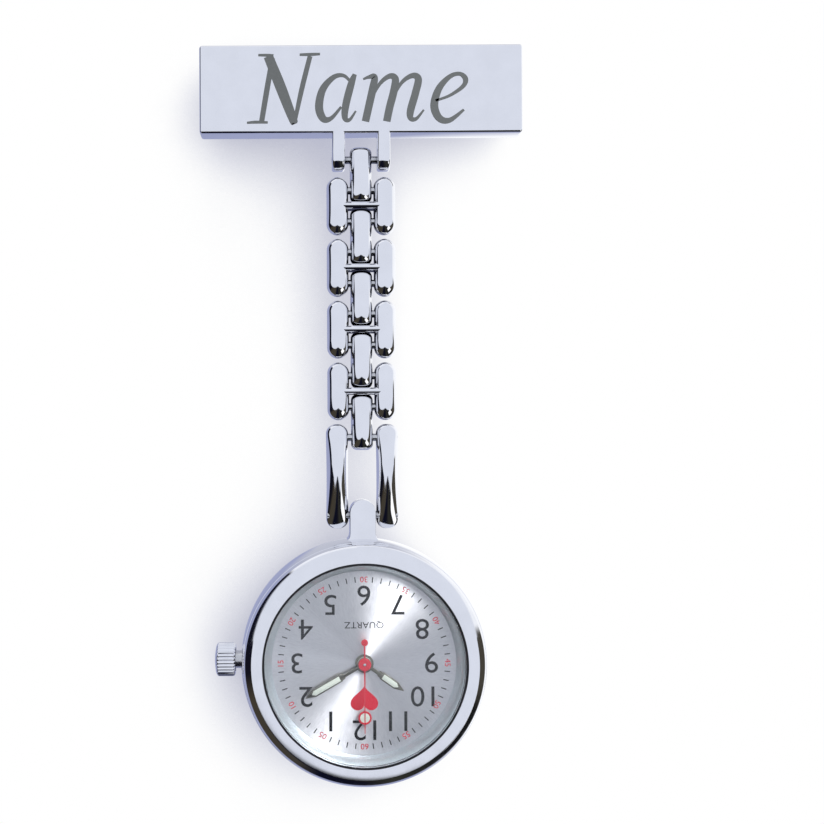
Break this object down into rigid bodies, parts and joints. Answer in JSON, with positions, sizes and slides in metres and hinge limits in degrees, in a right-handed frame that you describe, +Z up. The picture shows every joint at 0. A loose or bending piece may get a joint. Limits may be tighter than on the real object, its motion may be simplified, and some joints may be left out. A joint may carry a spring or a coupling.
{
  "type": "fob watch",
  "caption": "Nurse's fob watch: a name badge with a brooch pin behind it, a jointed link chain and a round quartz watch that hangs upside down.",
  "frame": {"origin": "middle of the brooch pin behind the badge, on the pin's centre line, with the pin closed", "axes": "+Z up as worn, -Y out of the badge's front and the dial, +X to the right seen from the front; stored hanging"},
  "size_m": [0.0388, 0.0086, 0.0887],
  "materials": {
    "polished_chrome": "bright polished plating",
    "plain_steel": "plain drawn or pressed steel",
    "dark_hand_metal": "dark grey plated hands",
    "red_hand_paint": "red lacquer",
    "silver_dial": "silver sunray brushed dial",
    "mineral_glass": "clear polished glass",
    "black_rubber": "black sealing ring",
    "wheel_brass": "plain brass",
    "white_nylon": "moulded plastic",
    "coil_copper": "enamelled copper wire",
    "circuit_green": "solder mask"
  },
  "bodies": {
    "badge": {"badge_plate": "polished_chrome", "badge_hinge_pin": "plain_steel", "brooch_bar": "plain_steel", "brooch_rivet": "plain_steel"},
    "needle": {"brooch_needle": "plain_steel"},
    "roller": {"safety_roller": "plain_steel"},
    "centre_1": {"centre_link_1": "polished_chrome"},
    "centre_2": {"centre_link_2": "polished_chrome"},
    "centre_3": {"centre_link_3": "polished_chrome"},
    "centre_4": {"centre_link_4": "polished_chrome"},
    "centre_5": {"centre_link_5": "polished_chrome"},
    "side_1": {"side_link_1": "polished_chrome", "side_pin_1_top": "plain_steel", "side_pin_1_bottom": "plain_steel"},
    "side_2": {"side_link_2": "polished_chrome", "side_pin_2_top": "plain_steel", "side_pin_2_bottom": "plain_steel"},
    "side_3": {"side_link_3": "polished_chrome", "side_pin_3_top": "plain_steel", "side_pin_3_bottom": "plain_steel"},
    "side_4": {"side_link_4": "polished_chrome", "side_pin_4_top": "plain_steel", "side_pin_4_bottom": "plain_steel"},
    "end_bars": {"end_bar_left": "polished_chrome", "end_bar_right": "polished_chrome", "end_pin_top": "plain_steel", "end_pin_bottom": "plain_steel"},
    "case": {"case_middle": "polished_chrome", "bezel": "polished_chrome", "crystal": "mineral_glass", "crystal_gasket": "black_rubber", "flange_ring": "polished_chrome", "dial": "silver_dial", "case_back": "polished_chrome", "back_gasket": "black_rubber", "stem_tube": "plain_steel", "movement_holder": "white_nylon", "main_plate": "wheel_brass", "train_bridge": "wheel_brass", "coil": "coil_copper", "stator": "plain_steel", "battery": "plain_steel", "battery_strap": "plain_steel", "circuit_board": "circuit_green", "quartz_can": "plain_steel"},
    "clutch": {"clutch_pinion": "plain_steel"},
    "stem": {"winding_stem": "plain_steel", "crown": "polished_chrome", "crown_gasket": "black_rubber"},
    "seconds": {"seconds_wheel": "white_nylon", "second_hand": "red_hand_paint"},
    "minutes": {"centre_wheel": "wheel_brass", "minute_hand": "dark_hand_metal"},
    "hours": {"hour_wheel": "white_nylon", "hour_hand": "dark_hand_metal"},
    "third": {"third_wheel": "white_nylon"},
    "intermediate": {"intermediate_wheel": "white_nylon"},
    "rotor": {"rotor": "plain_steel"},
    "minute_gear": {"minute_wheel": "white_nylon"},
    "setting": {"setting_wheel": "plain_steel"}
  },
  "joints": [
    {"name": "needle_swing", "type": "hinge", "parent": "badge", "child": "needle", "pos_m": [0.0125, 0, 0], "axis": [0, 0, -1], "range_deg": [0, 80]},
    {"name": "roller_turn", "type": "hinge", "parent": "badge", "child": "roller", "pos_m": [-0.012, 0, 0], "axis": [1, 0, 0], "range_deg": [0, 180]},
    {"name": "centre_1_hinge", "type": "hinge", "parent": "badge", "child": "centre_1", "pos_m": [0, -0.0033, -0.00824], "axis": [1, 0, 0], "range_deg": [-75, 75]},
    {"name": "side_1_hinge", "type": "hinge", "parent": "centre_1", "child": "side_1", "pos_m": [0, -0.0033, -0.01194], "axis": [-1, 0, 0], "range_deg": [-75, 75]},
    {"name": "centre_2_hinge", "type": "hinge", "parent": "side_1", "child": "centre_2", "pos_m": [0, -0.0033, -0.01571], "axis": [1, 0, 0], "range_deg": [-75, 75]},
    {"name": "side_2_hinge", "type": "hinge", "parent": "centre_2", "child": "side_2", "pos_m": [0, -0.0033, -0.01941], "axis": [-1, 0, 0], "range_deg": [-75, 75]},
    {"name": "centre_3_hinge", "type": "hinge", "parent": "side_2", "child": "centre_3", "pos_m": [0, -0.0033, -0.02318], "axis": [1, 0, 0], "range_deg": [-75, 75]},
    {"name": "side_3_hinge", "type": "hinge", "parent": "centre_3", "child": "side_3", "pos_m": [0, -0.0033, -0.02688], "axis": [-1, 0, 0], "range_deg": [-75, 75]},
    {"name": "centre_4_hinge", "type": "hinge", "parent": "side_3", "child": "centre_4", "pos_m": [0, -0.0033, -0.03065], "axis": [1, 0, 0], "range_deg": [-75, 75]},
    {"name": "side_4_hinge", "type": "hinge", "parent": "centre_4", "child": "side_4", "pos_m": [0, -0.0033, -0.03435], "axis": [-1, 0, 0], "range_deg": [-75, 75]},
    {"name": "centre_5_hinge", "type": "hinge", "parent": "side_4", "child": "centre_5", "pos_m": [0, -0.0033, -0.03812], "axis": [1, 0, 0], "range_deg": [-75, 75]},
    {"name": "end_bars_hinge", "type": "hinge", "parent": "centre_5", "child": "end_bars", "pos_m": [0, -0.0033, -0.04182], "axis": [-1, 0, 0], "range_deg": [-75, 75]},
    {"name": "case_hinge", "type": "hinge", "parent": "end_bars", "child": "case", "pos_m": [0, -0.0033, -0.05122], "axis": [1, 0, 0], "range_deg": [-75, 75]},
    {"name": "second_spin", "type": "hinge", "parent": "case", "child": "seconds", "pos_m": [0, -0.0033, -0.06872], "axis": [0, 1, 0], "continuous": true},
    {"name": "minute_spin", "type": "hinge", "parent": "case", "child": "minutes", "pos_m": [0, -0.0033, -0.06872], "axis": [0, 1, 0], "continuous": true},
    {"name": "hour_spin", "type": "hinge", "parent": "case", "child": "hours", "pos_m": [0, -0.0033, -0.06872], "axis": [0, 1, 0], "continuous": true},
    {"name": "third_spin", "type": "hinge", "parent": "case", "child": "third", "pos_m": [-0.00047, -0.0033, -0.06603], "axis": [0, 1, 0], "continuous": true},
    {"name": "intermediate_spin", "type": "hinge", "parent": "case", "child": "intermediate", "pos_m": [-0.00229, -0.0033, -0.07033], "axis": [0, 1, 0], "continuous": true},
    {"name": "rotor_spin", "type": "hinge", "parent": "case", "child": "rotor", "pos_m": [-0.00335, -0.0033, -0.07216], "axis": [0, 1, 0], "continuous": true},
    {"name": "minute_gear_spin", "type": "hinge", "parent": "case", "child": "minute_gear", "pos_m": [-0.0024, -0.0033, -0.06872], "axis": [0, 1, 0], "continuous": true},
    {"name": "setting_spin", "type": "hinge", "parent": "case", "child": "setting", "pos_m": [-0.00452, -0.0033, -0.0666], "axis": [0, 1, 0], "continuous": true},
    {"name": "crown_turn", "type": "hinge", "parent": "case", "child": "clutch", "pos_m": [-0.006, -0.00285, -0.06872], "axis": [-1, 0, 0], "continuous": true},
    {"name": "crown_pull", "type": "slide", "parent": "clutch", "child": "stem", "axis": [-1, 0, 0], "range_m": [0, 0.0009]}
  ],
  "couplings": [
    {"joint": "minute_spin", "follows": "second_spin", "ratio": 0.016667},
    {"joint": "hour_spin", "follows": "second_spin", "ratio": 0.0013889},
    {"joint": "third_spin", "follows": "second_spin", "ratio": -0.13333},
    {"joint": "intermediate_spin", "follows": "second_spin", "ratio": -6},
    {"joint": "rotor_spin", "follows": "second_spin", "ratio": 30},
    {"joint": "minute_gear_spin", "follows": "second_spin", "ratio": -0.0055556},
    {"joint": "setting_spin", "follows": "second_spin", "ratio": 0.0083333}
  ]
}
